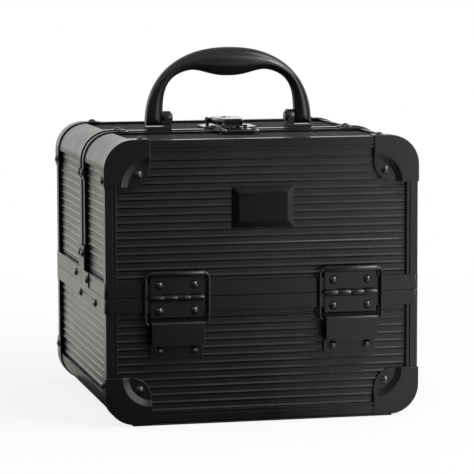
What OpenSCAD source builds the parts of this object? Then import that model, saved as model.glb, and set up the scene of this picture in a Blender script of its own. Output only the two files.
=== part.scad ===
// Two-lid makeup train case with ribbed panels, metal corner caps, bail hinges, a swinging
// handle, a draw latch and two cantilever trays. Millimetres, +Z up, front towards -Y.
// Origin: middle of the face that the case stands on.

/* [Case] */
// Width over the edge profiles
case_w = 250; // [220:1:300]
// Depth over the edge profiles
case_d = 236; // [216:1:280]
// Height of the closed case without its handle
case_h = 222; // [216:1:260]
// Height of the seam between base and lids
seam_z = 100; // [94:1:106]
// Place of the seam between the two lids, from the middle of the depth
seam_y = -15; // [-22:1:-8]
// Radius of the four long corners, on the face of the panels
corner_r = 20; // [14:1:26]
// Running gap between lids and base, and between the lids
seam_gap = 0.3; // [0.2:0.05:0.6]

/* [Panels] */
// Thickness of the boards
board_t = 4; // [3:0.5:5]
// Distance from rib to rib
rib_pitch = 6.05; // [5:0.05:9]
// Height of a rib above the board
rib_h = 0.8; // [0.5:0.1:1.3]
// Width of a rib at its foot
rib_w = 2.4; // [1.8:0.1:3.2]
// Thickness of the cloth lining
liner_t = 1; // [0.6:0.1:1.1]
// Thickness of the plate under the base
glide_t = 1.2; // [0.8:0.1:3]

/* [Frame] */
// Height of the edge profiles above the boards
profile_proud = 2.8; // [2.4:0.1:3.4]
// Height of rims and corner caps above the boards
rim_proud = 3.6; // [3.5:0.1:4.2]
// Height of the rear lid's seam profile above the boards
seam_proud = 3.6; // [3.4:0.1:5]
// Height of the smooth corner extrusions above the boards
round_proud = 2.6; // [1.6:0.1:2.6]
// Width of the edge profiles on the front and rear faces
profile_w = 9; // [7:0.5:12]
// Width of the bead along their inner edge
bead_w = 2; // [1.4:0.1:2.6]
// Depth of the edge profiles round the ends
profile_side = 8; // [6:0.5:12]
// Height of each rim at the base seam
rim_h = 11.6; // [11:0.1:14]
// Width of the profiles along the lid seam
seam_w = 9; // [7:0.5:12]

/* [Corner caps] */
// Width of a corner cap on the front face
cap_w = 36.5; // [32:0.5:42]
// Height of a corner cap on the front face
cap_h = 37; // [32:0.5:42]
// Depth of the band that a corner cap bends round the corner
cap_band = 15; // [12:0.5:20]
// Radius of the recessed quarter in a corner cap
recess_r = 23; // [19:0.5:25]
// Depth of the recessed quarter
recess_d = 1.6; // [0.8:0.1:1.8]
// Diameter of the rivet heads
rivet_d = 7; // [5:0.5:9]
// Height of the rivet heads
rivet_h = 2; // [1.4:0.1:2.6]

/* [Bail hinges] */
// Distance of each hinge from the middle
hinge_x = 69.5; // [60:0.5:80]
// Width of the hinge leaves
leaf_w = 42; // [34:1:46]
// Thickness of the hinge leaves
leaf_t = 1.2; // [1:0.1:1.4]
// Radius of the rolled knuckles
knuckle_r = 2.5; // [2.3:0.05:2.7]
// Radius of the hinge pin
pin_r = 1.2; // [1:0.05:1.4]
// Height of the bail's pivot above the hinge pin
bail_up = 18.8; // [18:0.1:21]
// Length of the bail, from bar to bar
bail_len = 40; // [38.5:0.1:41]
// Radius of the bail wire
bail_r = 1.4; // [1.2:0.05:1.5]

/* [Handle] */
// Span of the handle over its arms
handle_w = 140; // [130:1:160]
// Height of the handle above its end faces
handle_rise = 63.4; // [56:0.2:70]
// Thickness of the grip from top to underside
grip_t = 23.4; // [18:0.2:26]
// Height of the swelling under the middle of the grip
grip_belly = 6.2; // [3:0.2:7]
// Depth of the grip from front to back
grip_d = 17; // [14:0.5:18]
// Distance of the handle behind the middle
handle_y = 5; // [2:0.5:9]

/* [Trays] */
// Swing of the tray arms when the front lid is open, in degrees
arm_swing = 46; // [40:1:48]
// Free height between the two trays
tray_gap = 19; // [17:0.5:24]
// Free height above the upper tray
tray_room = 8.2; // [4:0.2:12]
// Wall of the trays
tray_t = 1.6; // [1.2:0.1:2.4]
// Height of the lower tray's floor above the seam
tray_rise = 29; // [28:0.5:32]

/* [Hidden] */
$fn = 64;

// Faces of the boards: every height above them is called a level
face_x = case_w / 2 - profile_proud;
face_y = case_d / 2 - profile_proud;
face_top = case_h - profile_proud;
face_low = glide_t + rim_proud;
under = rib_h + 0.1;            // level of the underside of flanges that lie over the ribs
groove_w = 0.9;                 // groove beside the bead of an edge profile
groove_d = 1.1;
fit = 0.05;                     // radial clearance of a pin in its bore
slack = 0.3;                    // gap between parts that move past each other
inner_t = 1.2;                  // inner lip of the rims
land_t = 1.4;                   // wall that closes a rim at the seam
lip_h = 8;                      // height of the inner lip
low_rim = seam_z - rim_h;       // underside of the base rim
lid_low = seam_z + seam_gap;    // underside of the lid rims
lid_rim = lid_low + rim_h;      // top of the lid rims
base_rib = face_low + 6.6;      // lowest rib of the base
lid_rib = lid_rim + 4;          // lowest rib of the lids
round_gap = 0.8;                // gap between the corner extrusions and the end boards
front_seam = seam_y - seam_gap / 2;
rear_seam = seam_y + seam_gap / 2;

// Hinge line, outside the rims
hinge_level = rim_proud + knuckle_r + slack;
hinge_y = face_y + hinge_level;
rivet_x = leaf_w / 2 - 7.2;     // rivets of a hinge leaf, from its middle
knuckle_n = 4;
knuckle_w = leaf_w / knuckle_n;
bail_half = leaf_w / 2 + 4;     // middle of the bail's legs, from the hinge middle
bail_bend = 4;                  // radius of the bail's bends
bail_in = hinge_level - rim_proud - bail_r - slack;
bail_lean = atan(bail_in / (bail_up + rim_h));  // clears the base rim with its legs
leaf_drop = 15.8;               // height of the lower leaf
bail_low = seam_z + bail_up - bail_len * cos(bail_lean);
pocket_top = bail_low + bail_r + slack + leaf_t;
pocket_low = seam_z - 36.8;
pocket_depth = hinge_level + 4.3;  // level of the pocket's outer face
pocket_foot = 10.6;             // height of the pocket's riveted foot
foot_rivet = pocket_low - 5;    // rivets of that foot
leaf_rivet = 10.1;              // rivets of the leaves, above and below the hinge pin

// Handle
handle_z = case_h + 9;          // pivot of the handle
handle_pin_r = 2.5;
handle_end_r = 5.7;             // round of the handle's ends
handle_low = handle_z - handle_end_r;
arm_t = 15;                     // width of an arm at its end
cheek_t = 6;                    // upright of a handle bracket
cheek_x = handle_w / 2 - arm_t - slack - cheek_t;
cheek_r = 6;                    // round of the upright's top
bracket_d = 14;
seam_top = face_top + seam_proud;
foot_z = face_top + profile_proud + 2.6;  // top of the brackets' feet
pin_reach = 10;                 // how far a handle pin goes into the handle
arm_d = 2 * handle_end_r;       // depth of an arm at its end

// Latch
latch_hinge = [28, case_h + 5.5];
latch_pin_r = 1.2;
lever_w = 23;
claw_half = 7.6;                // half width of the lever's claw
ear_t = 2.4;
ear_r = 2.6;
catch_y = front_seam - 0.15;

// Trays: closed places of the pivots, in the YZ plane
low_tray_z = seam_z + tray_rise;
tray_roof = face_top - board_t - liner_t - tray_room;
tray_h = (tray_roof - low_tray_z - tray_gap) / 2;
arm_step = tray_h + tray_gap;   // distance between the pivots of a tray arm
tray_front = -(face_y - board_t - liner_t - 2.6);
tray_back = 2;
arm_clear = 2.4;                // gap between the arms and the rims' inner lips
tray_half = face_x - board_t - inner_t - arm_clear - 4;
arm_x = tray_half + 2.4;        // inner face of the tray arms
arm_thick = 1.6;
arm_pin_r = 1.5;
arm_low = seam_z - 8;
arm_front = tray_front + 32.5;
arm_rear = tray_back - 8.5;
stay_foot = [tray_front + 8.3, seam_z + 14.8];
stay_head = [tray_front + 7.6, low_tray_z + arm_step + 5.9];
stay_thick = 1.4;
stay_w = 8;

// Where the head pin stands in the slot with the lid open, measured from the foot
function lid_open(p) = [-hinge_y - (p[1] - seam_z), seam_z + (p[0] + hinge_y)];
function tray_open(p) = [p[0] - 2 * arm_step * sin(arm_swing),
                         p[1] - 2 * arm_step * (1 - cos(arm_swing))];
stay_long = norm(stay_head - stay_foot);
stay_short = norm(tray_open(stay_head) - lid_open(stay_foot));

// ---- helpers ----

module rounded(w, h, r) {
    translate([r, 0]) square([w - 2 * r, h]);
    translate([0, r]) square([w, h - 2 * r]);
    for (x = [r, w - r], y = [r, h - r]) translate([x, y]) circle(r);
}

// Outline of the case seen from the front, in X and Z
module outline(level) {
    w = face_x + level;
    translate([-w, face_low - level])
        rounded(2 * w, face_top - face_low + 2 * level, corner_r + level);
}

// Outline of the case seen from above
module plan(level) {
    w = face_x + level;
    d = face_y + level;
    translate([-w, -d]) rounded(2 * w, 2 * d, max(level - 0.2, 0.2));
}

module along_y(y0, y1) {
    translate([0, y1, 0]) rotate([90, 0, 0]) linear_extrude(y1 - y0) children();
}

module ring(outer, inner, z0, z1) {
    translate([0, 0, z0]) linear_extrude(z1 - z0) difference() {
        plan(outer);
        plan(inner);
    }
}

// Band that follows the front outline, kept between two heights
module arch(outer, inner, y0, y1, z0, z1) {
    along_y(y0, y1) intersection() {
        difference() {
            outline(outer);
            outline(inner);
        }
        translate([-case_w, z0]) square([2 * case_w, z1 - z0]);
    }
}

module box(a, b) {
    translate(a) cube(b - a);
}

module both_x() {
    children();
    mirror([1, 0, 0]) children();
}

module both_y() {
    children();
    mirror([0, 1, 0]) children();
}

// Rear-lid parts are drawn at the front and turned to the back
module at_rear() {
    mirror([0, 1, 0]) children();
}

module rod_x(x0, x1, r) {
    translate([x0, 0, 0]) rotate([0, 90, 0]) cylinder(h = x1 - x0, r = r);
}

// A rib along X that rises towards +Z
module rib(length) {
    crest = rib_w / 4;
    rotate([90, 0, 90]) linear_extrude(length, center = true) polygon([
        [-rib_w / 2, -0.4], [-rib_w / 2, 0], [-crest / 2, rib_h],
        [crest / 2, rib_h], [rib_w / 2, 0], [rib_w / 2, -0.4]
    ]);
}

// Upright board in the XZ plane with its ribs on the -Y side, between two heights
module ribbed_board(z0, z1, rib0, rib1) {
    along_y(-face_y, -face_y + board_t) intersection() {
        outline(0);
        translate([-case_w, z0]) square([2 * case_w, z1 - z0]);
    }
    for (z = [rib0 : rib_pitch : rib1]) {
        in_corner = z < face_low + corner_r || z > face_top - corner_r;
        half = in_corner ? face_x - corner_r : face_x - 1;
        translate([0, -face_y, z]) rotate([90, 0, 0]) rib(2 * half);
    }
}

// Right end board between two depths and two heights
module ribbed_end(y0, y1, z0, z1, rib0, rib1) {
    box([face_x - board_t, y0, z0], [face_x, y1, z1]);
    for (z = [rib0 : rib_pitch : rib1])
        translate([face_x, (y0 + y1) / 2, z]) rotate([90, 0, 90]) rib(y1 - y0);
}

// Upper right quarter of the long rounded corner, thicker between two depths
module corner_round(y0, y1, thick0, thick1) {
    translate([face_x - corner_r, 0, face_top - corner_r]) {
        along_y(y0, y1) quarter(corner_r + rib_h, corner_r - board_t + 1);
        along_y(thick0, thick1) quarter(corner_r + round_proud, corner_r - 1);
    }
}

module quarter(outer, inner) {
    intersection() {
        difference() {
            circle(outer);
            circle(inner);
        }
        square(2 * outer);
    }
}

// Depth, from the front, where the edge profiles end and the corner extrusions thicken
thick_y = case_d / 2 - profile_side - slack;

// Edge profile round the front face, with a groove and a bead along its inner edge
module edge_profile(z0, z1) {
    outer_y = -face_y - profile_proud;
    edge = profile_proud - profile_w;
    difference() {
        arch(profile_proud, edge, outer_y, -face_y - under, z0, z1);
        arch(edge + bead_w + groove_w, edge + bead_w, outer_y - 1, outer_y + groove_d,
             z0 - 1, z1 + 1);
    }
    arch(profile_proud, under, outer_y + 1, outer_y + profile_side, z0, z1);
}

// Rivet head on a face that looks towards -Y, at a level
module rivet_front(x, z, level) {
    translate([x, -face_y - level, z]) rotate([90, 0, 0]) dome(rivet_d);
}

module rivet_end(y, z, level) {
    translate([face_x + level, y, z]) rotate([0, 90, 0]) dome(rivet_d);
}

module rivet_top(x, y, level) {
    translate([x, y, face_top + level]) dome(rivet_d);
}

// Round head: a cap of a sphere on a short rim
module dome(d) {
    r = (d * d / 4 + rivet_h * rivet_h) / (2 * rivet_h);
    intersection() {
        translate([0, 0, rivet_h - r]) sphere(r);
        cylinder(h = rivet_h, d = d);
    }
}

// ---- corner caps ----

cap_round = 16;                 // round of a cap's inner corner
recess_slope = 5;               // width of the slope round the recess

// Upper right front cap: flange with a recessed quarter, and a band bent round the corner
module corner_cap() {
    x_in = face_x + rim_proud - cap_w;
    z_in = face_top + rim_proud - cap_h;
    front = -face_y - rim_proud;
    difference() {
        along_y(front, -face_y - under) intersection() {
            outline(rim_proud);
            cap_blank(x_in, z_in, cap_round);
        }
        arch(profile_proud, profile_proud - profile_w, -face_y - profile_proud, 0, 0, case_h);
        translate([x_in, front, z_in]) rotate([-90, 0, 0])
            cylinder(h = recess_d, r1 = recess_r, r2 = recess_r - recess_slope);
    }
    along_y(front, front + cap_band) intersection() {
        difference() {
            outline(rim_proud);
            outline(profile_proud);
        }
        translate([x_in, z_in]) square(cap_w + cap_h);
    }
}

// Square whose lower left corner is rounded
module cap_blank(x, z, r) {
    translate([x, z]) {
        translate([r, 0]) square(cap_w + cap_h);
        translate([0, r]) square(cap_w + cap_h);
        translate([r, r]) circle(r);
    }
}

// Thin band over a lid's seam profile at its upper right corner
module seam_cap(y0, y1, level) {
    along_y(y0, y1) intersection() {
        difference() {
            outline(level + plate_t);
            outline(level);
        }
        translate([face_x + level - cap_w, face_top + level - cap_h]) square(cap_w + cap_h);
    }
}

cap_rivet_x = face_x + rim_proud - cap_w + 9.3;
cap_rivet_z = face_top + rim_proud - cap_h + 9.8;
cap_recess = rim_proud - recess_d;
cap_edge_x = face_x + rim_proud - cap_w + 6;
cap_edge_z = face_top + rim_proud - cap_h + 5.5;
cap_edge_y = -face_y - rim_proud + 8;

module cap_rivets() {
    rivet_front(cap_rivet_x, cap_rivet_z, cap_recess);
    rivet_end(cap_edge_y, cap_edge_z, rim_proud);
    rivet_top(cap_edge_x, cap_edge_y, rim_proud);
}

// The base's caps are the lid's caps turned upside down
module to_base() {
    translate([0, 0, face_low + face_top]) mirror([0, 0, 1]) children();
}

// ---- base ----

module base_front_panel() {
    color("#1c1d1d") ribbed_board(face_low, seam_z - land_t, base_rib, low_rim);
}

module base_rear_panel() {
    color("#1c1d1d") at_rear() ribbed_board(face_low, seam_z - land_t, base_rib, low_rim);
}

module pivot_holes(r) {
    for (y = [arm_front, arm_rear])
        translate([0, y, arm_low]) rod_x(arm_x - 4, case_w, r);
}

module base_end_panels() {
    edge = face_y - board_t;
    color("#232424") both_x() difference() {
        ribbed_end(-edge, edge, face_low + corner_r + round_gap, seam_z - land_t,
                   face_low + corner_r + round_gap + rib_w, low_rim);
        pivot_holes(arm_pin_r + fit);
    }
}

module base_corner_rounds() {
    edge = face_y - board_t;
    color("#262727") both_x() to_base() corner_round(-edge, edge, -thick_y, thick_y);
}

module base_floor() {
    half = face_x - corner_r;
    edge = face_y - board_t;
    color("#2c2a28") box([-half, -edge, face_low], [half, edge, face_low + board_t]);
}

module base_glide_plate() {
    half = face_x - corner_r + 2;
    flat_half = face_x - corner_r - 0.2;
    edge = case_d / 2 - 0.5;
    inset = profile_side + 1;
    color("#1a1b1b") difference() {
        union() {
            box([-half, -edge, 0], [half, edge, glide_t]);
            box([-flat_half, -edge + inset, 0], [flat_half, edge - inset, face_low]);
        }
        both_x() both_y()
            box([face_x + rim_proud - cap_w - 1, -case_d, glide_t],
                [case_w, -face_y - rim_proud + cap_band + slack, case_h]);
    }
}

module base_edge_profiles() {
    color("#1f2020") both_y() edge_profile(0, low_rim);
}

module base_rim() {
    color("#222323") difference() {
        union() {
            ring(rim_proud, under, low_rim, seam_z);
            ring(rim_proud, -board_t - inner_t, seam_z - land_t, seam_z);
            ring(-board_t, -board_t - inner_t, seam_z - lip_h - 4, seam_z);
        }
        both_x() pivot_holes(arm_pin_r + fit);
    }
}

module base_corner_caps() {
    color("#1b1c1c") both_x() both_y() to_base() corner_cap();
}

module base_liner() {
    z1 = seam_z - lip_h - 4.2;
    edge = face_y - board_t;
    color("#3a3a3c") difference() {
        along_y(-edge, edge) lining_outline(-board_t, z1);
        along_y(-edge + liner_t, edge - liner_t) lining_outline(-board_t - liner_t, z1 + 1);
    }
}

module lining_outline(level, z1) {
    intersection() {
        outline(level);
        translate([-case_w, 0]) square([2 * case_w, z1]);
    }
}

// ---- bail hinges ----

// Places a hinge part at both front hinges
module at_hinges() {
    for (x = [-hinge_x, hinge_x]) translate([x, 0, 0]) children();
}

// Tube of one knuckle, by its place along the pin
module knuckle(i) {
    x0 = -leaf_w / 2 + i * knuckle_w + 0.15;
    translate([0, -hinge_y, seam_z]) difference() {
        rod_x(x0, x0 + knuckle_w - 0.3, knuckle_r);
        rod_x(x0 - 1, x0 + knuckle_w + 1, pin_r + fit);
    }
}

// Sheet from a knuckle's back to the leaf
module knuckle_tab(i, z0, z1) {
    x0 = -leaf_w / 2 + i * knuckle_w + 0.15;
    difference() {
        box([x0, -face_y - rim_proud - leaf_t, z0],
            [x0 + knuckle_w - 0.3, -face_y - rim_proud, z1]);
        translate([0, -hinge_y, seam_z]) rod_x(x0 - 1, x0 + knuckle_w, knuckle_r - 0.6);
    }
}

module leaf_plate(z0, z1) {
    box([-leaf_w / 2, -face_y - rim_proud - leaf_t, z0], [leaf_w / 2, -face_y - rim_proud, z1]);
}

clear_z = knuckle_r + slack;

module lower_leaf() {
    leaf_plate(seam_z - leaf_drop, seam_z - clear_z);
    for (i = [1, 3]) {
        knuckle(i);
        knuckle_tab(i, seam_z - clear_z, seam_z);
    }
}

module upper_leaf() {
    curl_z = seam_z + bail_up;
    difference() {
        union() {
            leaf_plate(seam_z + clear_z, curl_z);
            translate([0, -hinge_y, curl_z]) rod_x(-leaf_w / 2, leaf_w / 2, knuckle_r);
        }
        translate([0, -hinge_y, curl_z]) rod_x(-leaf_w, leaf_w, bail_r + fit);
    }
    for (i = [0, 2]) {
        knuckle(i);
        knuckle_tab(i, seam_z, seam_z + clear_z);
    }
}

module base_hinge_leaves() {
    color("#2a2b2b") both_y() at_hinges() lower_leaf();
}

module front_lid_hinge_leaves() {
    color("#2a2b2b") at_hinges() upper_leaf();
}

module rear_lid_hinge_leaves() {
    color("#2a2b2b") at_rear() at_hinges() upper_leaf();
}

module hinge_pins() {
    color("#3c3d3d") both_y() at_hinges()
        translate([0, -hinge_y, seam_z]) rod_x(-leaf_w / 2 - 0.6, leaf_w / 2 + 0.6, pin_r);
}

// Bent plate that the lower bar of a bail slides in; its ends are open for the bail's legs
module bail_pocket() {
    wall = leaf_t;
    section = [
        [rib_h, pocket_top], [pocket_depth - 1.5, pocket_top], [pocket_depth, pocket_top - 1.5],
        [pocket_depth, pocket_low], [rib_h + wall, pocket_low],
        [rib_h + wall, pocket_low - pocket_foot], [rib_h, pocket_low - pocket_foot],
        [rib_h, pocket_low + wall], [pocket_depth - wall, pocket_low + wall],
        [pocket_depth - wall, pocket_top - wall], [rib_h, pocket_top - wall]
    ];
    translate([-leaf_w / 2, -face_y, 0]) rotate([90, 0, 90]) linear_extrude(leaf_w)
        polygon([for (p = section) [-p[0], p[1]]]);
}

module bail_pockets() {
    color("#2a2b2b") both_y() at_hinges() bail_pocket();
}

// Quarter bend in the plane of the bail, from +X towards +Z about its centre
module bail_bend_arc(turn) {
    rotate([90, turn, 0]) rotate_extrude(angle = 90) translate([bail_bend, 0]) circle(bail_r);
}

// Closed wire loop, drawn hanging from its upper bar at the origin
module bail_loop() {
    straight = bail_half - bail_bend;
    rod_x(-straight, straight, bail_r);
    translate([0, 0, -bail_len]) rod_x(-straight, straight, bail_r);
    for (side = [-1, 1]) translate([side * bail_half, 0, -bail_len + bail_bend])
        cylinder(h = bail_len - 2 * bail_bend, r = bail_r);
    for (side = [0, 1]) mirror([side, 0, 0]) {
        translate([straight, 0, -bail_bend]) bail_bend_arc(0);
        translate([straight, 0, -bail_len + bail_bend]) bail_bend_arc(90);
    }
}

module bail_pair() {
    at_hinges() translate([0, -hinge_y, seam_z + bail_up]) rotate([bail_lean, 0, 0]) bail_loop();
}

module front_bails() {
    color("#303131") bail_pair();
}

module rear_bails() {
    color("#303131") at_rear() bail_pair();
}

// ---- rivets and pivots of the base ----

module hinge_rivets(z, level) {
    at_hinges() for (x = [-rivet_x, rivet_x]) rivet_front(x, z, level);
}

module base_rivets() {
    color("#2e2f2f") {
        both_x() both_y() to_base() cap_base_rivets();
        both_y() hinge_rivets(seam_z - leaf_rivet, rim_proud + leaf_t);
        both_y() hinge_rivets(foot_rivet, rib_h + leaf_t);
    }
}

// A base cap has no rivet below, where the case stands
module cap_base_rivets() {
    rivet_front(cap_rivet_x, cap_rivet_z, cap_recess);
    rivet_end(cap_edge_y, cap_edge_z, rim_proud);
}

// Pins that carry the tray arms, headed outside the rim and inside the arms
module tray_pivots() {
    color("#3a3b3b") both_x() for (y = [arm_front, arm_rear]) {
        rivet_end(y, arm_low, rim_proud);
        translate([0, y, arm_low]) {
            rod_x(arm_x, face_x + rim_proud, arm_pin_r);
            rod_x(arm_x - 0.8, arm_x - 0.1, 2 * arm_pin_r);
            rod_x(arm_x - 0.2, arm_x, arm_pin_r);
            rod_x(arm_x + arm_thick + 0.1, face_x - board_t - inner_t, 2 * arm_pin_r);
        }
    }
}

// ---- lids: drawn between the front face and a seam depth ----

module lid_panel() {
    ribbed_board(lid_low + land_t, face_top, lid_rib, face_top - profile_w + rib_w);
}

module lid_top(y1) {
    y0 = -face_y + board_t;
    half = face_x - corner_r;
    box([-half, y0, face_top - board_t], [half, y1, face_top]);
    for (y = [y0 + rib_pitch - 1 : rib_pitch : y1 - board_t])
        translate([0, y, face_top]) rib(2 * half);
}

module lid_ends(y1) {
    end_top = face_top - corner_r - round_gap;
    both_x() ribbed_end(-face_y + board_t, y1, lid_low + land_t, end_top, lid_rib, end_top - rib_w);
}

module lid_rounds(y1) {
    both_x() corner_round(-face_y + board_t, y1, -thick_y, y1 + land_t - seam_w - slack);
}

// Lower rim of a lid, open where the two lids meet
module lid_rim_frame(y1) {
    intersection() {
        union() {
            ring(rim_proud, under, lid_low, lid_rim);
            ring(rim_proud, -board_t - inner_t, lid_low, lid_low + land_t);
            ring(-board_t, -board_t - inner_t, lid_low, lid_low + lip_h);
        }
        box([-case_w, -case_d, 0], [case_w, y1, case_h]);
    }
}

// Profile along the seam: outer flange over the ribs, closing wall and inner lip
module seam_profile(y1, level) {
    arch(level, under, y1 - seam_w, y1, lid_rim, 2 * case_h);
    arch(level, -board_t - inner_t, y1 - land_t, y1, lid_rim, 2 * case_h);
    arch(-board_t, -board_t - inner_t, y1 - lip_h, y1, lid_rim, 2 * case_h);
}

module lid_liner(y1) {
    y0 = -face_y + board_t;
    difference() {
        along_y(y0, y1 - lip_h - 0.2) lid_lining_outline(-board_t, lid_low + lip_h + 0.2);
        along_y(y0 + liner_t, y1) lid_lining_outline(-board_t - liner_t, 0);
    }
}

module lid_lining_outline(level, z0) {
    intersection() {
        outline(level);
        translate([-case_w, z0]) square([2 * case_w, case_h]);
    }
}

plate_t = 0.8;                  // thickness of seam caps and joint plates
plate_reach = 31;               // length of both legs of a joint plate
plate_rivet = 6;                // end rivets of a joint plate, from its edges

// L-shaped plate over the joint of rim and seam profile
module joint_plate(y1, level) {
    x0 = face_x + level;
    box([x0, y1 - plate_reach, lid_low], [x0 + plate_t, y1, lid_rim]);
    box([x0, y1 - seam_w - 3, lid_low], [x0 + plate_t, y1, lid_low + plate_reach]);
}

// ---- front lid ----

front_board_end = front_seam - land_t;

module front_lid_panel() {
    color("#1c1d1d") lid_panel();
}

module front_lid_top() {
    color("#2b2c2c") lid_top(front_board_end);
}

module front_lid_ends() {
    color("#232424") lid_ends(front_board_end);
}

module front_lid_rounds() {
    color("#262727") lid_rounds(front_board_end);
}

module front_lid_edge_profile() {
    color("#1f2020") edge_profile(lid_rim, 2 * case_h);
}

module front_lid_rim() {
    color("#222323") lid_rim_frame(front_seam);
}

module front_lid_seam_profile() {
    color("#222323") seam_profile(front_seam, profile_proud);
}

module front_lid_caps() {
    color("#1b1c1c") both_x() corner_cap();
}

module front_lid_seam_caps() {
    color("#1b1c1c") both_x() seam_cap(front_seam - seam_w, front_seam, profile_proud);
}

module front_lid_joint_plates() {
    color("#1b1c1c") both_x() joint_plate(front_seam, rim_proud);
}

module front_lid_liner() {
    color("#3a3a3c") lid_liner(front_seam);
}

// Rivets of a lid's caps, hinges, seam caps and joint plates
module lid_rivets(y1, level) {
    cap_level = level + plate_t;
    plate_level = max(level, rim_proud) + plate_t;
    both_x() cap_rivets();
    hinge_rivets(seam_z + leaf_rivet, rim_proud + leaf_t);
    both_x() {
        rivet_end(y1 - seam_w / 2, cap_edge_z - 1, cap_level);
        rivet_top(cap_edge_x, y1 - seam_w / 2, cap_level);
        rivet_end(y1 - seam_w / 2 - 1.5, lid_low + plate_reach - plate_rivet, plate_level);
        rivet_end(y1 - plate_reach + 5, lid_low + plate_rivet, plate_level);
    }
}

module front_lid_rivets() {
    color("#2e2f2f") lid_rivets(front_seam, profile_proud);
}

badge_w = 48.7;
badge_h = 31.5;
badge_top = case_h - 37.5;
badge_t = 2.5;
badge_edge = 0.9;               // height of the badge's upright edge
badge_bevel = 5;                // width of its sloped sides

// Faceted plate: a frustum on a thin plate
module badge_plate() {
    inner = [1 - 2 * badge_bevel / badge_w, 1 - 2 * badge_bevel / badge_h];
    color("#0c0d0d") translate([0, -face_y - rib_h, badge_top - badge_h / 2]) rotate([90, 0, 0]) {
        linear_extrude(badge_edge + 0.1) square([badge_w, badge_h], center = true);
        translate([0, 0, badge_edge]) linear_extrude(badge_t - badge_edge, scale = inner)
            square([badge_w, badge_h], center = true);
    }
}

catch_half = 17;                // half width of the catch's plate
catch_d = 29;                   // its depth
catch_block = 11;               // half width of the raised block
catch_cut = 4.5;                // size of the plate's cut corners
catch_rivet = 4.4;

// Catch on the front lid: a plate with a raised block and a slotted upstand that faces the
// claw, and four rivets
module latch_catch() {
    z0 = face_top + rib_h;
    z1 = face_top + profile_proud;
    front = catch_y - catch_d;
    color("#343535") {
        difference() {
            union() {
                box([-catch_half, front, z0], [catch_half, front_seam - seam_w - 0.1, z1 + 1]);
                box([-catch_half, front_seam - seam_w - 0.2, z1], [catch_half, catch_y, z1 + 1]);
            }
            both_x() translate([catch_half, front, z0 - 1]) rotate([0, 0, 45])
                cube([2 * catch_cut, 2 * catch_cut, 2 * catch_cut], center = true);
        }
        difference() {
            translate([-catch_block, 0, 0]) rotate([90, 0, 90])
                linear_extrude(2 * catch_block) polygon([
                    [front + 4, z1 + 0.9], [front + 6, z1 + 1.8], [catch_y - 2, z1 + 1.8],
                    [catch_y - 1.6, z1 + 4.2], [catch_y, z1 + 4.2], [catch_y, z1 + 0.9]
                ]);
            box([-claw_half, catch_y - 3, z1 + 2.1], [claw_half, catch_y + 1, z1 + 3.3]);
        }
        both_x() for (y = [-4.5, -13])
            translate([catch_half - 3, catch_y + y, z1 + 1]) dome(catch_rivet);
    }
}

// Pins on the front lid's ends that carry the stays
module stay_pivots() {
    color("#3a3b3b") both_x() translate([0, stay_foot[0], stay_foot[1]]) {
        rod_x(tray_half + 0.4, face_x - board_t - liner_t, arm_pin_r);
        rod_x(arm_x - 0.1, face_x - board_t - liner_t, 2 * arm_pin_r);
    }
}

// ---- rear lid ----

rear_board_end = -rear_seam - land_t;

module rear_lid_panel() {
    color("#1c1d1d") at_rear() lid_panel();
}

module rear_lid_top() {
    color("#2b2c2c") at_rear() lid_top(rear_board_end);
}

module rear_lid_ends() {
    color("#232424") at_rear() lid_ends(rear_board_end);
}

module rear_lid_rounds() {
    color("#262727") at_rear() lid_rounds(rear_board_end);
}

module rear_lid_edge_profile() {
    color("#1f2020") at_rear() edge_profile(lid_rim, 2 * case_h);
}

module rear_lid_rim() {
    color("#222323") at_rear() lid_rim_frame(-rear_seam);
}

module rear_lid_seam_profile() {
    color("#222323") at_rear() seam_profile(-rear_seam, seam_proud);
}

module rear_lid_caps() {
    color("#1b1c1c") at_rear() both_x() corner_cap();
}

module rear_lid_seam_caps() {
    color("#1b1c1c") at_rear() both_x() seam_cap(-rear_seam - seam_w, -rear_seam, seam_proud);
}

module rear_lid_joint_plates() {
    color("#1b1c1c") at_rear() both_x() joint_plate(-rear_seam, max(seam_proud, rim_proud));
}

module rear_lid_liner() {
    color("#3a3a3c") at_rear() lid_liner(-rear_seam);
}

module rear_lid_rivets() {
    color("#2e2f2f") at_rear() lid_rivets(-rear_seam, seam_proud);
}

// L-shaped bracket beside each handle end, with its foot under the handle
module handle_brackets() {
    foot_x = handle_w / 2 - 1;
    y0 = handle_y - bracket_d / 2;
    y1 = handle_y + bracket_d / 2;
    color("#2a2b2b") both_x() difference() {
        union() {
            box([cheek_x, y0, face_top + rib_h], [foot_x, y1, foot_z]);
            box([cheek_x, handle_y - cheek_r, foot_z - 1],
                [cheek_x + cheek_t, handle_y + cheek_r, handle_z]);
            translate([0, handle_y, handle_z]) rod_x(cheek_x, cheek_x + cheek_t, cheek_r);
        }
        translate([0, handle_y, handle_z]) rod_x(cheek_x - 1, cheek_x + cheek_t + 1,
                                                 handle_pin_r + fit);
    }
}

module handle_pins() {
    color("#6a6b6b") both_x() translate([0, handle_y, handle_z]) {
        rod_x(cheek_x - 1.4, cheek_x - 0.1, handle_pin_r + 1.6);
        rod_x(cheek_x - 0.2, cheek_x + cheek_t + pin_reach, handle_pin_r);
    }
}

// Handle: sections from the outer to the inner outline, swept from end to end
handle_steps = 44;
handle_sides = 20;
outer_power = 2.25;             // how square the handle's shoulders are
inner_power = 4;                // how square the opening's shoulders are
inner_w = handle_w / 2 - arm_t; // half width of the opening
inner_h = handle_rise - grip_t + grip_belly;
belly_reach = 34;               // half length of the swelling

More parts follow.
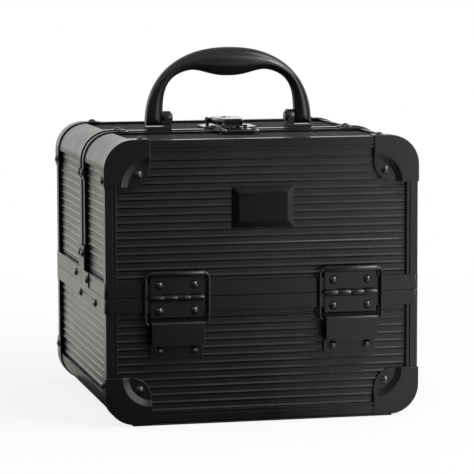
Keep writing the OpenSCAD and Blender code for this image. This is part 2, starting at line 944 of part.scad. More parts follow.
function outer_point(t) = let (x = pow(abs(cos(t)), 2 / outer_power))
    [handle_w / 2 * x * sign(cos(t)), handle_low + handle_rise * pow(sin(t), 2 / outer_power)];
function inner_reach(t) = pow(pow(abs(cos(t)) / inner_w, inner_power)
    + pow(abs(sin(t)) / inner_h, inner_power), -1 / inner_power);
function swell(x) = abs(x) > belly_reach ? 0
    : (1 + cos(180 * pow(abs(x) / belly_reach, 1.25))) / 2;
function inner_point(t) = let (x = inner_reach(t) * cos(t))
    [x, handle_low + inner_reach(t) * sin(t) - grip_belly * swell(x)];
function handle_depth(t) = arm_d + (grip_d - arm_d) * pow(sin(t), 2);
function handle_ring(t) = let (o = outer_point(t), i = inner_point(t))
    [for (k = [0 : handle_sides - 1]) let (a = 360 * k / handle_sides) [
        (o[0] + i[0]) / 2 + (o[0] - i[0]) / 2 * cos(a),
        handle_y + handle_depth(t) / 2 * sin(a),
        (o[1] + i[1]) / 2 + (o[1] - i[1]) / 2 * cos(a)
    ]];

module handle() {
    n = handle_sides;
    points = [for (s = [0 : handle_steps]) each handle_ring(180 * s / handle_steps)];
    sides = [for (s = [0 : handle_steps - 1], k = [0 : n - 1])
        [s * n + k, s * n + (k + 1) % n, (s + 1) * n + (k + 1) % n, (s + 1) * n + k]];
    ends = [[for (k = [n - 1 : -1 : 0]) k], [for (k = [0 : n - 1]) handle_steps * n + k]];
    color("#161717") difference() {
        intersection() {
            polyhedron(points, concat(sides, ends));
            union() {
                box([-handle_w, -case_d, handle_z], [handle_w, case_d, 2 * case_h]);
                translate([0, handle_y, handle_z]) rod_x(-handle_w, handle_w, handle_end_r);
            }
        }
        both_x() translate([0, handle_y, handle_z])
            rod_x(cheek_x, cheek_x + cheek_t + pin_reach + 0.2, handle_pin_r + fit);
    }
}

// ---- latch ----

module octagon(w, d, cut) {
    polygon([
        [-w / 2 + cut, -d / 2], [w / 2 - cut, -d / 2], [w / 2, -d / 2 + cut],
        [w / 2, d / 2 - cut], [w / 2 - cut, d / 2], [-w / 2 + cut, d / 2],
        [-w / 2, d / 2 - cut], [-w / 2, -d / 2 + cut]
    ]);
}

latch_w = 44;
latch_cut = 11;                 // cut corners of the latch's plate
latch_mid = (rear_seam + latch_hinge[0] + 7) / 2;
latch_d = latch_hinge[0] + 7 - rear_seam - 0.4;
latch_t = 1.2;
plate_z = seam_top + latch_t;
ear_x = lever_w / 2 + slack;

// Octagonal plate over the seam profile and the ribs behind it, with two hinge ears
module latch_base() {
    color("#2a2b2b") difference() {
        union() {
            translate([0, latch_mid, seam_top])
                linear_extrude(latch_t) octagon(latch_w, latch_d, latch_cut);
            intersection() {
                translate([0, latch_mid, face_top + rib_h])
                    linear_extrude(seam_proud - rib_h) octagon(latch_w, latch_d, latch_cut);
                box([-latch_w, rear_seam + seam_w + 0.1, face_top], [latch_w, case_d, case_h * 2]);
            }
            both_x() {
                box([ear_x, latch_hinge[0] - ear_r, plate_z - 0.2],
                    [ear_x + ear_t, latch_hinge[0] + ear_r, latch_hinge[1]]);
                translate([0, latch_hinge[0], latch_hinge[1]]) rod_x(ear_x, ear_x + ear_t, ear_r);
            }
        }
        translate([0, latch_hinge[0], latch_hinge[1]])
            rod_x(-latch_w, latch_w, latch_pin_r + fit);
    }
}

lever_front = rear_seam + 0.2;
lever_low = plate_z + 0.5;
lever_top = latch_hinge[1] + 3.2;
lever_long = latch_hinge[0] - lever_front;
lever_bevel = 1.4;              // width and height of the bevel round the lever's top
cover_t = 3;
cover_low = lever_top - cover_t;
neck = 12;                      // length over which the lever widens behind its claw
lock_y = 17;
lock_r = 4;

// Outline of the lever's cover: narrow over the claw, wide at the hinge
module cover_outline() {
    w = lever_w / 2;
    l = lever_long / 2;
    polygon([
        [-claw_half, -l], [claw_half, -l], [w, neck - l], [w, l - 3], [w - 3, l],
        [3 - w, l], [-w, l - 3], [-w, neck - l]
    ]);
}

// Lever on its pin: a bevelled cover, a body under it and a ribbed claw block in front
module latch_lever() {
    inner = [1 - 2 * lever_bevel / lever_w, 1 - 2 * lever_bevel / lever_long];
    body_y = lever_front + neck + 4;
    body_half = lever_w / 2 - 2;
    color("#3b3c3c") difference() {
        union() {
            translate([0, lever_front + lever_long / 2, cover_low]) {
                linear_extrude(cover_t - lever_bevel + 0.1) cover_outline();
                translate([0, 0, cover_t - lever_bevel])
                    linear_extrude(lever_bevel, scale = inner) cover_outline();
            }
            box([-body_half, body_y, lever_low], [body_half, latch_hinge[0], cover_low + 1]);
            box([-claw_half, lever_front + 0.8, lever_low], [claw_half, body_y + 1, cover_low + 1]);
            for (i = [-2 : 2]) translate([i * (claw_half - 0.8) / 2, 0, 0])
                box([-0.8, lever_front, lever_low], [0.8, lever_front + 1, cover_low + 1]);
            translate([0, latch_hinge[0], latch_hinge[1]]) {
                rod_x(-lever_w / 2, lever_w / 2, 2.2);
                rod_x(-ear_x - ear_t - 0.6, ear_x + ear_t + 0.6, latch_pin_r);
            }
        }
        translate([0, lock_y, lever_low - 1]) cylinder(h = 2 * cover_t + 6, r = lock_r + fit);
    }
}

// Key cylinder in the lever, with a key slot
module lock_cylinder() {
    color("#7a7b7b") difference() {
        translate([0, lock_y, lever_low + 0.1])
            cylinder(h = lever_top + 0.4 - lever_low, r = lock_r);
        translate([-0.6, lock_y - 2.6, lever_top - 2]) cube([1.2, 5.2, 4]);
    }
}

// ---- trays ----

// Flat bar with round ends and a bore at each given height
module bar(x0, thick, y, heights, r, half_w) {
    low = heights[0];
    high = heights[len(heights) - 1];
    difference() {
        union() {
            box([x0, y - half_w, low], [x0 + thick, y + half_w, high]);
            for (z = [low, high]) translate([0, y, z]) rod_x(x0, x0 + thick, half_w);
        }
        for (z = heights) translate([0, y, z]) rod_x(x0 - 1, x0 + thick + 1, r);
    }
}

arm_heights = [arm_low, arm_low + arm_step, arm_low + 2 * arm_step];

arm_w = 10;

module tray_arm(y) {
    bar(arm_x, arm_thick, y, arm_heights, arm_pin_r + fit, arm_w / 2);
}

module front_tray_arms() {
    color("#8a8b8c") both_x() tray_arm(arm_front);
}

module rear_tray_arms() {
    color("#8a8b8c") both_x() tray_arm(arm_rear);
}

// Slotted stay from the front lid to the upper tray
module tray_stays() {
    x0 = tray_half + 0.5;
    tilt = atan2(stay_foot[0] - stay_head[0], stay_head[1] - stay_foot[1]);
    slot_r = arm_pin_r + fit;
    color("#8a8b8c") both_x() translate([x0, stay_foot[0], stay_foot[1]]) rotate([tilt, 0, 0])
        rotate([90, 0, 90]) linear_extrude(stay_thick) difference() {
            union() {
                circle(stay_w / 2);
                translate([-stay_w / 2, 0]) square([stay_w, stay_long + 1]);
                translate([0, stay_long + 1]) circle(stay_w / 2);
            }
            circle(arm_pin_r + fit);
            for (y = [stay_short - 1, stay_long]) translate([0, y]) circle(slot_r);
            translate([-slot_r, stay_short - 1])
                square([2 * slot_r, stay_long - stay_short + 1]);
        }
}

tray_corner = 5;                // round of the trays' upright edges
divider_at = 0.42;              // place of the long divider, as a share of the depth

// Open tray with a long divider, cross dividers in front of it, and pins at both ends
module tray(z0, pin_z, cross) {
    depth = tray_back - tray_front;
    mid_y = tray_front + divider_at * depth;
    difference() {
        translate([-tray_half, tray_front, z0])
            tray_block(2 * tray_half, depth, tray_h, tray_corner);
        translate([-tray_half + tray_t, tray_front + tray_t, z0 + tray_t])
            tray_block(2 * (tray_half - tray_t), depth - 2 * tray_t, tray_h,
                       tray_corner - tray_t);
    }
    wall = tray_h - 4;          // the dividers stay below the rim
    box([-tray_half + tray_t / 2, mid_y, z0 + tray_t / 2],
        [tray_half - tray_t / 2, mid_y + tray_t, z0 + wall]);
    for (x = cross) box([x, tray_front + tray_t / 2, z0 + tray_t / 2],
                        [x + tray_t, mid_y + tray_t / 2, z0 + wall]);
    both_x() for (y = [arm_front, arm_rear]) translate([0, y, pin_z]) {
        rod_x(tray_half - 0.2, arm_x + arm_thick + 0.1, arm_pin_r);
        rod_x(tray_half - 0.2, arm_x - 0.2, 2 * arm_pin_r);
    }
}

// Block with rounded upright edges
module tray_block(w, d, h, r) {
    linear_extrude(h) rounded(w, d, r);
}

module lower_tray() {
    color("#1d1d1f") tray(low_tray_z, arm_low + arm_step, [-tray_half / 3, tray_half / 3]);
}

module upper_tray() {
    color("#1d1d1f") {
        tray(low_tray_z + arm_step, arm_low + 2 * arm_step,
             [for (share = [-0.6, -0.2, 0.2, 0.6]) share * tray_half]);
        both_x() translate([0, stay_head[0], stay_head[1]]) {
            rod_x(tray_half - 0.2, tray_half + 0.5 + stay_thick + 0.2, arm_pin_r);
            rod_x(tray_half - 0.2, tray_half + 0.4, 2 * arm_pin_r);
        }
    }
}

base_front_panel();
base_rear_panel();
base_end_panels();
base_corner_rounds();
base_floor();
base_glide_plate();
base_edge_profiles();
base_rim();
base_corner_caps();
base_liner();
base_hinge_leaves();
bail_pockets();
hinge_pins();
base_rivets();
tray_pivots();
front_lid_panel();
front_lid_top();
front_lid_ends();
front_lid_rounds();
front_lid_edge_profile();
front_lid_rim();
front_lid_seam_profile();
front_lid_caps();
front_lid_seam_caps();
front_lid_joint_plates();
front_lid_hinge_leaves();
front_lid_liner();
front_lid_rivets();
badge_plate();
latch_catch();
stay_pivots();
rear_lid_panel();
rear_lid_top();
rear_lid_ends();
rear_lid_rounds();
rear_lid_edge_profile();
rear_lid_rim();
rear_lid_seam_profile();
rear_lid_caps();
rear_lid_seam_caps();
rear_lid_joint_plates();
rear_lid_hinge_leaves();
rear_lid_liner();
rear_lid_rivets();
handle_brackets();
handle_pins();
handle();
latch_base();
latch_lever();
lock_cylinder();
front_bails();
rear_bails();
front_tray_arms();
rear_tray_arms();
tray_stays();
lower_tray();
upper_tray();
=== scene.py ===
"""Looks of the makeup train case: camera, materials, smooth handle, soft edges, floor and light.

Metres, in the CAD model's frame: +Z up, front towards -Y, +X right seen from the front.
"""
import math
import bpy
import bmesh
from mathutils import Matrix, Vector


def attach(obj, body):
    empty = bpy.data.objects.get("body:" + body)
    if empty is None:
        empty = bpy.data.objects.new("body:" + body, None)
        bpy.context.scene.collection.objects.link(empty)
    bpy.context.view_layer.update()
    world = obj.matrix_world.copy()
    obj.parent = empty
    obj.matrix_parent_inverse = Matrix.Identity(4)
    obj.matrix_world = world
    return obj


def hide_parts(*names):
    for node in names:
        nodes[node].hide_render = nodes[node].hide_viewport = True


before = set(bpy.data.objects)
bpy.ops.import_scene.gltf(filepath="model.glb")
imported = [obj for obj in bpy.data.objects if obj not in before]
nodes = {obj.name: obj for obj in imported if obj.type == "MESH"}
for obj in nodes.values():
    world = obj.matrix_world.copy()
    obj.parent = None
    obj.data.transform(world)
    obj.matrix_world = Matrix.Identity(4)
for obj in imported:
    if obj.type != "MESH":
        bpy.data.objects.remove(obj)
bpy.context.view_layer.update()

MM = 0.001
WELD_GAP = 0.00001      # points nearer than this are one


def link_to_scene(o):
    bpy.context.scene.collection.objects.link(o)


def object_from(bm, name):
    """A new object in the scene from a bmesh, which is freed."""
    me = bpy.data.meshes.new(name)
    bm.to_mesh(me)
    bm.free()
    o = bpy.data.objects.new(name, me)
    link_to_scene(o)
    return o


# ---- camera ----

# Fitted to the photograph's edges, rivets and handle
CAMERA_PLACE = (-0.4600, -2.0257, 0.3603)
CAMERA_AIM = (0.2228, 0.9687, -0.1090)
CAMERA_ROLL = -0.19     # degrees
SENSOR_MM = 36.0
FOCAL_PX = 2537.0
FRAME_PX = 474.0


def make_camera():
    cam = bpy.data.objects.new("camera", bpy.data.cameras.new("camera"))
    link_to_scene(cam)
    cam.data.sensor_width = SENSOR_MM
    cam.data.lens = FOCAL_PX / FRAME_PX * SENSOR_MM
    cam.data.clip_start = 0.05
    cam.data.clip_end = 50.0
    forward = Vector(CAMERA_AIM).normalized()
    right = forward.cross(Vector((0, 0, 1))).normalized()
    up = right.cross(forward)
    turn = Matrix((right, up, -forward)).transposed().to_4x4()
    roll = Matrix.Rotation(math.radians(CAMERA_ROLL), 4, "Z")
    cam.matrix_world = Matrix.Translation(Vector(CAMERA_PLACE)) @ turn @ roll
    bpy.context.scene.camera = cam


make_camera()

# ---- node helpers ----

NOISE_BAND = (0.3, 0.7)     # most of a noise lies between these
NOISE_ROUGHNESS = 0.55
BEVEL_SAMPLES = 6


class Nodes:
    """A short way to build one material's node tree."""

    def __init__(self, name):
        self.mat = bpy.data.materials.new(name)
        self.mat.use_nodes = True
        self.tree = self.mat.node_tree
        self.tree.nodes.clear()
        self.out = self.new("ShaderNodeOutputMaterial")
        self.bsdf = self.new("ShaderNodeBsdfPrincipled")
        self.link(self.bsdf.outputs[0], self.out.inputs[0])

    def new(self, kind, **values):
        n = self.tree.nodes.new(kind)
        for k, v in values.items():
            setattr(n, k, v)
        return n

    def link(self, a, b):
        self.tree.links.new(a, b)

    def coords(self, scale):
        tex = self.new("ShaderNodeTexCoord")
        mp = self.new("ShaderNodeMapping")
        mp.inputs["Scale"].default_value = scale
        self.link(tex.outputs["Object"], mp.inputs["Vector"])
        return mp.outputs["Vector"]

    def noise(self, scale, detail=3.0, stretch=(1, 1, 1)):
        """Noise with about so many features to a metre."""
        n = self.new("ShaderNodeTexNoise")
        n.inputs["Scale"].default_value = scale
        n.inputs["Detail"].default_value = detail
        n.inputs["Roughness"].default_value = NOISE_ROUGHNESS
        self.link(self.coords(stretch), n.inputs["Vector"])
        return n.outputs["Fac"]

    def ramp(self, fac, low, high):
        """Runs from one colour to another over the band of a noise."""
        r = self.new("ShaderNodeValToRGB")
        for el, pos, col in zip(r.color_ramp.elements, NOISE_BAND, (low, high)):
            el.position = pos
            el.color = (*col, 1.0)
        self.link(fac, r.inputs["Fac"])
        return r.outputs["Color"]

    def math(self, op, a, b):
        n = self.new("ShaderNodeMath", operation=op)
        for socket, v in zip(n.inputs, (a, b)):
            if isinstance(v, (int, float)):
                socket.default_value = v
            else:
                self.link(v, socket)
        return n.outputs[0]

    def span(self, fac, lo, hi, f0=NOISE_BAND[0], f1=NOISE_BAND[1]):
        """Maps f0..f1 to lo..hi, and holds the value beyond."""
        n = self.new("ShaderNodeMapRange")
        self.link(fac, n.inputs["Value"])
        n.inputs["From Min"].default_value = f0
        n.inputs["From Max"].default_value = f1
        n.inputs["To Min"].default_value = lo
        n.inputs["To Max"].default_value = hi
        return n.outputs["Result"]

    def mix(self, fac, a, b):
        n = self.new("ShaderNodeMix", data_type="RGBA")
        self.link(fac, n.inputs[0])
        for socket, v in ((n.inputs[6], a), (n.inputs[7], b)):
            if isinstance(v, (tuple, list)):
                socket.default_value = (*v, 1.0)
            else:
                self.link(v, socket)
        return n.outputs[2]

    def bump(self, height, distance, strength=1.0, normal=None):
        n = self.new("ShaderNodeBump")
        n.inputs["Strength"].default_value = strength
        n.inputs["Distance"].default_value = distance
        self.link(height, n.inputs["Height"])
        if normal is not None:
            self.link(normal, n.inputs["Normal"])
        return n.outputs["Normal"]

    def soft_edge(self, radius):
        """Normal with rounded edges, and how near an edge the point is."""
        bev = self.new("ShaderNodeBevel", samples=BEVEL_SAMPLES)
        bev.inputs["Radius"].default_value = radius
        geo = self.new("ShaderNodeNewGeometry")
        dot = self.new("ShaderNodeVectorMath", operation="DOT_PRODUCT")
        self.link(bev.outputs["Normal"], dot.inputs[0])
        self.link(geo.outputs["Normal"], dot.inputs[1])
        near = self.math("SUBTRACT", 1.0, dot.outputs["Value"])
        return bev.outputs["Normal"], near

    def set(self, **values):
        """Sets or links the shader's sockets, and gives the finished material."""
        for k, v in values.items():
            socket = self.bsdf.inputs[k.replace("_", " ")]
            if isinstance(v, (int, float)):
                socket.default_value = v
            else:
                self.link(v, socket)
        return self.mat


def scaled(colour, factor, lift=0.0):
    return tuple(c * factor + lift for c in colour)


# ---- materials ----

BARE_METAL = (0.20, 0.20, 0.195)    # shows through where black finish is scratched or rubbed
CLOUDS = 11.0                       # noise scales of slow changes of tone and of gloss
PATCHES = 47.0
TONE = 0.18                         # how far clouds lighten or darken black metal
SCRATCH_SCALE = 0.35                # of the grain's
SCRATCH_BAND = (0.66, 0.78)         # only the noise's peaks are scratches
RUBBED_BAND = (0.03, 0.35)
GLOSS_CHANGE = 0.03
RUBBED_ROUGHER = 0.08


def satin(name, base, rough, along=(1, 1, 1), edge=0.0005, specular=0.5, grain=2400.0,
          grain_depth=0.0000015, spread=0.03, wear=0.10, scratches=0.05):
    """Black painted or anodised metal: brushed along one way, clouded gloss, rubbed edges."""
    n = Nodes(name)
    normal, near = n.soft_edge(edge)
    streak = n.noise(grain, 3.0, along)
    cloud = n.noise(CLOUDS, 5.0)
    patch = n.noise(PATCHES, 4.0)
    col = n.ramp(cloud, scaled(base, 1 - TONE), scaled(base, 1 + TONE))
    scratch = n.span(n.noise(grain * SCRATCH_SCALE, 4.0, along), 0.0, 1.0, *SCRATCH_BAND)
    col = n.mix(n.math("MULTIPLY", scratch, scratches), col, BARE_METAL)
    rubbed = n.math("MULTIPLY", n.span(near, 0.0, 1.0, *RUBBED_BAND), n.span(patch, 0.1, 1.0))
    col = n.mix(n.math("MULTIPLY", rubbed, wear), col, BARE_METAL)
    r = n.math("ADD", n.span(streak, -spread, spread),
               n.span(patch, rough - GLOSS_CHANGE, rough + GLOSS_CHANGE))
    r = n.math("ADD", r, n.math("MULTIPLY", rubbed, RUBBED_ROUGHER))
    return n.set(Base_Color=col, Roughness=r, Specular_IOR_Level=specular,
                 Normal=n.bump(streak, grain_depth, 1.0, normal))


PLATED_GRAIN = 900.0
PLATED_GRAIN_DEPTH = 0.000008
STAINS = 90.0


def plated(name, base, rough, along=(1, 1, 1), edge=0.0004):
    """Bare or plated metal with fine grinding marks and a little tarnish."""
    n = Nodes(name)
    normal, _ = n.soft_edge(edge)
    streak = n.noise(PLATED_GRAIN, 3.0, along)
    stain = n.noise(STAINS, 5.0)
    col = n.ramp(stain, scaled(base, 0.7), scaled(base, 1.1))
    r = n.math("ADD", n.span(streak, -0.05, 0.05), n.span(stain, rough + 0.05, rough - 0.03))
    return n.set(Base_Color=col, Roughness=r, Metallic=1.0,
                 Normal=n.bump(streak, PLATED_GRAIN_DEPTH, 1.0, normal))


PLASTIC_CLOUDS = 18.0
PLASTIC_PATCHES = 45.0
PLASTIC_TONE = 0.2
PLASTIC_GLOSS_CHANGE = 0.05
PLASTIC_EDGE_BAND = (0.1, 0.6)
COAT_ROUGHNESS = 0.12


def plastic(name, base, rough, grain, depth, edge=0.0006, coat=0.0, specular=0.5):
    """Moulded plastic: fine spark texture, slightly uneven tone and gloss, paler edges."""
    n = Nodes(name)
    normal, near = n.soft_edge(edge)
    fine = n.noise(grain, 2.0)
    cloud = n.noise(PLASTIC_CLOUDS, 4.0)
    col = n.ramp(cloud, scaled(base, 1 - PLASTIC_TONE), scaled(base, 1 + PLASTIC_TONE))
    at_edge = n.math("MULTIPLY", n.span(near, 0.0, 1.0, *PLASTIC_EDGE_BAND), 0.15)
    col = n.mix(at_edge, col, scaled(base, 2.2, 0.01))
    r = n.span(n.noise(PLASTIC_PATCHES, 3.0),
               rough - PLASTIC_GLOSS_CHANGE, rough + PLASTIC_GLOSS_CHANGE)
    return n.set(Base_Color=col, Roughness=r, Normal=n.bump(fine, depth, 1.0, normal),
                 Coat_Weight=coat, Coat_Roughness=COAT_ROUGHNESS, Specular_IOR_Level=specular)


def cloth(name, base):
    """Short black pile, with lighter lint and darker, flattened areas."""
    n = Nodes(name)
    pile = n.noise(1400.0, 4.0)
    lint = n.noise(260.0, 5.0)
    col = n.mix(n.span(lint, 0.0, 1.0, 0.55, 0.75), base, scaled(base, 2.0))
    col = n.mix(n.span(n.noise(9.0, 3.0), 0.0, 0.5), col, scaled(base, 0.6))
    return n.set(Base_Color=col, Roughness=0.95, Normal=n.bump(pile, 0.0004, 0.8),
                 Sheen_Weight=0.5, Specular_IOR_Level=0.2)


def board(name, dark, light):
    """Raw wood fibre board, with its grain along X."""
    n = Nodes(name)
    grain = n.noise(30.0, 8.0, (1, 14, 14))
    return n.set(Base_Color=n.ramp(grain, dark, light), Roughness=0.75,
                 Normal=n.bump(grain, 0.0002))


# Stretch of a noise for brush marks along an axis
ALONG_X = (0.02, 1, 1)
ALONG_Y = (1, 0.02, 1)
ALONG_Z = (1, 1, 0.02)
SKIN = (0.0060, 0.0068, 0.0062)
RIB = {"edge": 0.0003, "wear": 0.01, "spread": 0.012, "grain_depth": 0.0000003,
       "scratches": 0.01}

m_rib_x = satin("ribbed_skin_x", SKIN, 0.27, ALONG_X, **RIB)
m_rib_y = satin("ribbed_skin_y", SKIN, 0.25, ALONG_Y, specular=1.0, **RIB)
m_round = satin("corner_skin", SKIN, 0.24, ALONG_Y, edge=0.0003, specular=0.36)
m_profile = satin("edge_profile", SKIN, 0.20, ALONG_X, wear=0.16)
m_cap = satin("corner_cap", (0.0042, 0.0050, 0.0048), 0.21, edge=0.0010, grain=420.0,
              grain_depth=0.000004, spread=0.02)
m_hinge = satin("hinge_leaf", (0.0062, 0.0068, 0.0068), 0.22, ALONG_X)
m_wire = satin("bail_wire", (0.006, 0.0066, 0.0066), 0.16, grain=500.0, grain_depth=0.000004)
m_rivet = satin("rivet_head", (0.007, 0.0078, 0.0078), 0.20, edge=0.0003, specular=0.95,
                grain=400.0, grain_depth=0.000002)
m_pin = satin("black_pin", (0.02, 0.02, 0.02), 0.22, specular=0.8, grain=700.0)
m_latch = plated("latch_metal", (0.10, 0.10, 0.104), 0.10, ALONG_X)
m_lock = plated("lock_metal", (0.50, 0.50, 0.50), 0.18)
m_bracket = satin("bracket_metal", (0.008, 0.009, 0.009), 0.24, ALONG_Z)
m_arm = plated("arm_steel", (0.50, 0.50, 0.49), 0.26, ALONG_Z, edge=0.0003)
m_grip = plastic("grip_plastic", (0.007, 0.0078, 0.0082), 0.22, 1200.0, 0.0000015, coat=0.1)
m_badge = plastic("badge_gloss", (0.0030, 0.0029, 0.0034), 0.12, 300.0, 0.000002,
                  edge=0.0003, specular=0.3)
m_tray = plastic("tray_plastic", (0.020, 0.020, 0.022), 0.5, 900.0, 0.00003)
m_glide = plastic("glide_plastic", (0.012, 0.012, 0.012), 0.6, 700.0, 0.00005)
m_cloth = cloth("lining_pile", (0.016, 0.016, 0.018))
m_board = board("floor_wood", (0.09, 0.06, 0.035), (0.22, 0.16, 0.10))

BY_NODE = {
    m_rib_x: ["base_front_panel", "base_rear_panel", "front_lid_panel", "front_lid_top",
              "rear_lid_panel", "rear_lid_top"],
    m_rib_y: ["base_end_panels", "front_lid_ends", "rear_lid_ends"],
    m_round: ["base_corner_rounds", "front_lid_rounds", "rear_lid_rounds"],
    m_board: ["base_floor"],
    m_glide: ["base_glide_plate"],
    m_profile: ["base_edge_profiles", "base_rim", "front_lid_edge_profile", "front_lid_rim",
                "front_lid_seam_profile", "rear_lid_edge_profile", "rear_lid_rim",
                "rear_lid_seam_profile"],
    m_cap: ["base_corner_caps", "front_lid_caps", "front_lid_seam_caps",
            "front_lid_joint_plates", "rear_lid_caps", "rear_lid_seam_caps",
            "rear_lid_joint_plates"],
    m_cloth: ["base_liner", "front_lid_liner", "rear_lid_liner"],
    m_hinge: ["base_hinge_leaves", "bail_pockets", "front_lid_hinge_leaves",
              "rear_lid_hinge_leaves"],
    m_wire: ["front_bails", "rear_bails"],
    m_pin: ["hinge_pins", "handle_pins"],
    m_rivet: ["base_rivets", "front_lid_rivets", "rear_lid_rivets", "tray_pivots",
              "stay_pivots"],
    m_badge: ["badge_plate"],
    m_latch: ["latch_catch", "latch_base", "latch_lever"],
    m_lock: ["lock_cylinder"],
    m_bracket: ["handle_brackets"],
    m_grip: ["handle"],
    m_arm: ["front_tray_arms", "rear_tray_arms", "tray_stays"],
    m_tray: ["lower_tray", "upper_tray"],
}
for material, names in BY_NODE.items():
    for node_name in names:
        node = nodes[node_name]
        if not node.material_slots:
            node.data.materials.append(None)
        for slot in node.material_slots:
            slot.link = "OBJECT"
            slot.material = material

# ---- handle ----

# The handle's form as in the CAD model, in millimetres
HANDLE_Y = 5.0          # its pivot, and the middle of its depth
HANDLE_Z = 231.0
HANDLE_END_R = 5.7
HANDLE_LOW = HANDLE_Z - HANDLE_END_R
HANDLE_HALF = 70.0      # half width and rise of the outer curve
HANDLE_RISE = 63.4
OPENING_HALF = 55.0     # and of the inner one
OPENING_RISE = 46.2
GRIP_BELLY = 6.2        # how far the grip swells into the opening
GRIP_DEPTH = 17.0
ARM_DEPTH = 2 * HANDLE_END_R
BELLY_REACH = 34.0
SWELL_POWER = 1.25
OUTER_POWER = 2.25      # of the superellipses: 2 is an ellipse, more is squarer
INNER_POWER = 4.0
HANDLE_STEPS = 180
HANDLE_SIDES = 48
END_CROWDING = 0.45     # moves sections towards the ends, up to 0.5


def handle_section(t):
    """Outer point, inner point and depth of the handle at an angle from its right end."""
    c, s = math.cos(t), max(math.sin(t), 0.0)
    outer = (HANDLE_HALF * math.copysign(abs(c) ** (2 / OUTER_POWER), c),
             HANDLE_LOW + HANDLE_RISE * s ** (2 / OUTER_POWER))
    reach = ((abs(c) / OPENING_HALF) ** INNER_POWER
             + (s / OPENING_RISE) ** INNER_POWER) ** (-1 / INNER_POWER)
    x = reach * c
    swell = 0.0
    if abs(x) < BELLY_REACH:
        swell = (1 + math.cos(math.pi * (abs(x) / BELLY_REACH) ** SWELL_POWER)) / 2
    inner = (x, HANDLE_LOW + reach * s - GRIP_BELLY * swell)
    return outer, inner, ARM_DEPTH + (GRIP_DEPTH - ARM_DEPTH) * s * s


def handle_ring(bm, t):
    """The section's points. Below the pivot the arm's end is round about it."""
    outer, inner, depth = handle_section(t)
    ring = []
    for k in range(HANDLE_SIDES):
        a = 2 * math.pi * k / HANDLE_SIDES
        x = (outer[0] + inner[0]) / 2 + (outer[0] - inner[0]) / 2 * math.cos(a)
        z = (outer[1] + inner[1]) / 2 + (outer[1] - inner[1]) / 2 * math.cos(a)
        y = depth / 2 * math.sin(a)
        below = HANDLE_Z - z
        if below > 0:
            room = math.sqrt(max(HANDLE_END_R ** 2 - below ** 2, 0.0))
            y = max(-room, min(room, y))
        ring.append(bm.verts.new((x * MM, (HANDLE_Y + y) * MM, z * MM)))
    return ring


def make_handle():
    """The CAD handle's form with finer sections, so that its gloss runs without facets."""
    bm = bmesh.new()
    turns = [step / HANDLE_STEPS for step in range(HANDLE_STEPS + 1)]
    rings = [handle_ring(bm, math.pi * u - END_CROWDING * math.sin(2 * math.pi * u))
             for u in turns]
    for a, b in zip(rings, rings[1:]):
        for k in range(HANDLE_SIDES):
            j = (k + 1) % HANDLE_SIDES
            bm.faces.new((a[k], a[j], b[j], b[k]))
    bmesh.ops.remove_doubles(bm, verts=bm.verts, dist=WELD_GAP)
    bmesh.ops.dissolve_degenerate(bm, edges=bm.edges, dist=WELD_GAP)
    bmesh.ops.recalc_face_normals(bm, faces=bm.faces)
    for f in bm.faces:
        f.smooth = True
    o = object_from(bm, "smooth_handle")
    o.data.materials.append(m_grip)
    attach(o, "handle")
    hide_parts("handle")


make_handle()

# ---- soft edges ----

BEVEL_SEGMENTS = 3
SHARP_ANGLE = 28.0      # degrees: edges that turn more than this are rounded
FLAT_ANGLE = 0.6


def round_edges(node_name, width, merge_flat):
    """Rounds a CAD node's sharp edges, as folding, pressing or moulding leaves them."""
    o = nodes[node_name]
    weld = o.modifiers.new("weld", "WELD")
    weld.merge_threshold = WELD_GAP
    if merge_flat:
        flat = o.modifiers.new("flat", "DECIMATE")
        flat.decimate_type = "DISSOLVE"
        flat.angle_limit = math.radians(FLAT_ANGLE)
    bevel = o.modifiers.new("bevel", "BEVEL")
    bevel.width = width
    bevel.segments = BEVEL_SEGMENTS
    bevel.limit_method = "ANGLE"
    bevel.angle_limit = math.radians(SHARP_ANGLE)
    bevel.use_clamp_overlap = merge_flat
    bevel.harden_normals = True


# Width, whether flat faces are merged first (never where one has a hole), nodes
ROUNDED = [
    (0.00022, False, ["base_front_panel", "base_rear_panel", "front_lid_panel",
                      "front_lid_top", "rear_lid_panel", "rear_lid_top", "base_end_panels",
                      "front_lid_ends", "rear_lid_ends"]),
    (0.0004, True, ["badge_plate"]),
    (0.00025, False, ["base_hinge_leaves", "front_lid_hinge_leaves", "rear_lid_hinge_leaves",
                      "bail_pockets", "front_lid_joint_plates", "rear_lid_joint_plates"]),
    (0.0004, False, ["base_rim", "front_lid_rim", "rear_lid_rim", "handle_brackets",
                     "latch_base", "latch_catch", "latch_lever"]),
]
for width, merge_flat, names in ROUNDED:
    for node_name in names:
        round_edges(node_name, width, merge_flat)

# ---- floor ----

FLOOR_HALF = 6.0
PAPER = ((0.93, 0.93, 0.90), (0.95, 0.95, 0.92))    # darker and lighter areas of the sweep
# Floor colours that only gloss and bounce light see: painted shade at the front left and a
# painted pool of light at the front right
PAINTED_SHADE_FRONT = (0.05, 0.053, 0.05)
PAINTED_LIGHT_RIGHT = (0.75, 0.76, 0.74)
BACK_FROM, BACK_TO = -0.05, 0.70    # along Y: where the floor turns from front to paper
FAN_TIP_Y = 0.1                     # the front's tones fan out from this point behind
FAN_FROM, FAN_TO = 0.06, 0.40       # slopes X / -Y between dark and pale
SEEN_COLOUR = (0.95, 0.95, 0.95)    # the part of the seen floor that takes the shadow
SEEN_NEAR, SEEN_FAR = 0.84, 1.0     # share of plain white that the camera sees
NEAR_REACH, FAR_REACH = 0.25, 0.85  # distances from the case of these shares


